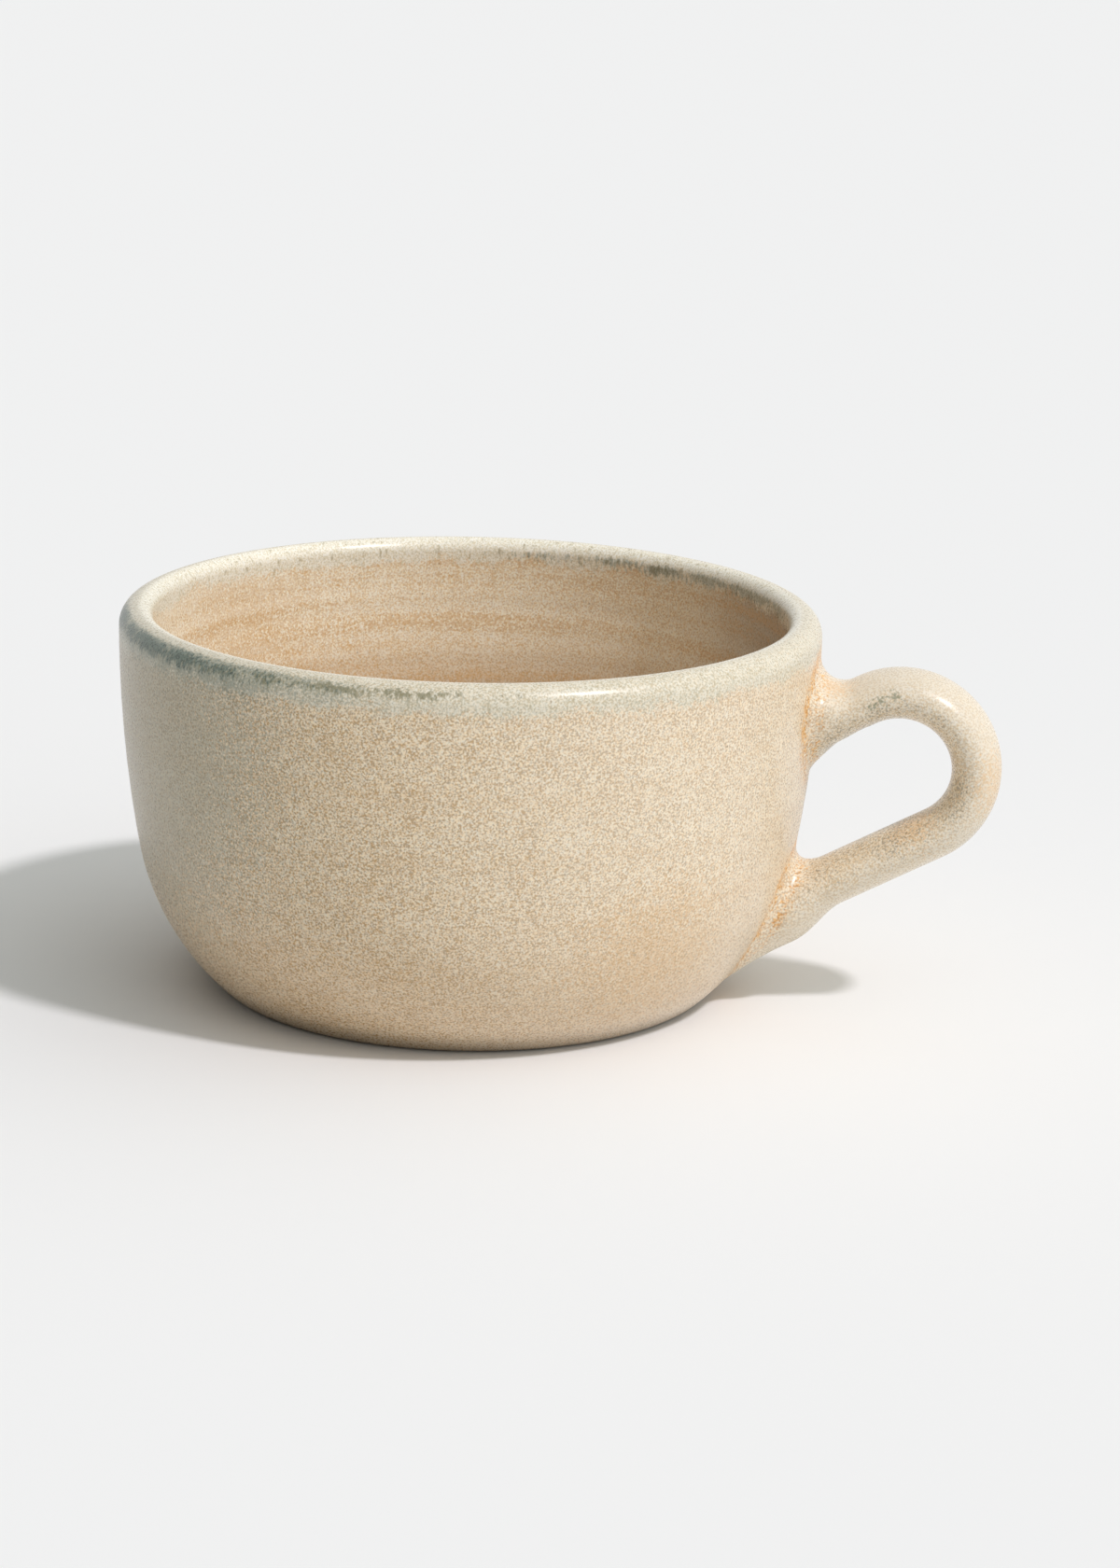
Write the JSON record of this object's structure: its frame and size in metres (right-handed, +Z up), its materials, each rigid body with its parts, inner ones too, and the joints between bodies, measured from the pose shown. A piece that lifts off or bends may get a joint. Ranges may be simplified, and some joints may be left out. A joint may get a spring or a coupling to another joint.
{
  "type": "cappuccino cup",
  "caption": "Low, wide stoneware cup with an upright wall, a rounded belly, a flat turned foot and a finger loop handle, in a speckled oatmeal glaze.",
  "frame": {"origin": "centre of the foot ring, on the plane the cup stands on", "axes": "+Z up along the axis of the bowl, +X from that axis towards the handle, Y across the handle's loop"},
  "size_m": [0.1389, 0.11, 0.061],
  "materials": {
    "bowl_glaze": "satin oatmeal glaze with fine tan and cream grains, paler at the lip, bare clay under the foot",
    "handle_glaze": "satin cream glaze with fine dark specks",
    "joint_glaze": "satin glaze broken to rust orange along the joint"
  },
  "bodies": {
    "root": {"bowl": "bowl_glaze", "handle": "handle_glaze", "upper_slip_joint": "joint_glaze", "lower_slip_joint": "joint_glaze"}
  },
  "joints": []
}
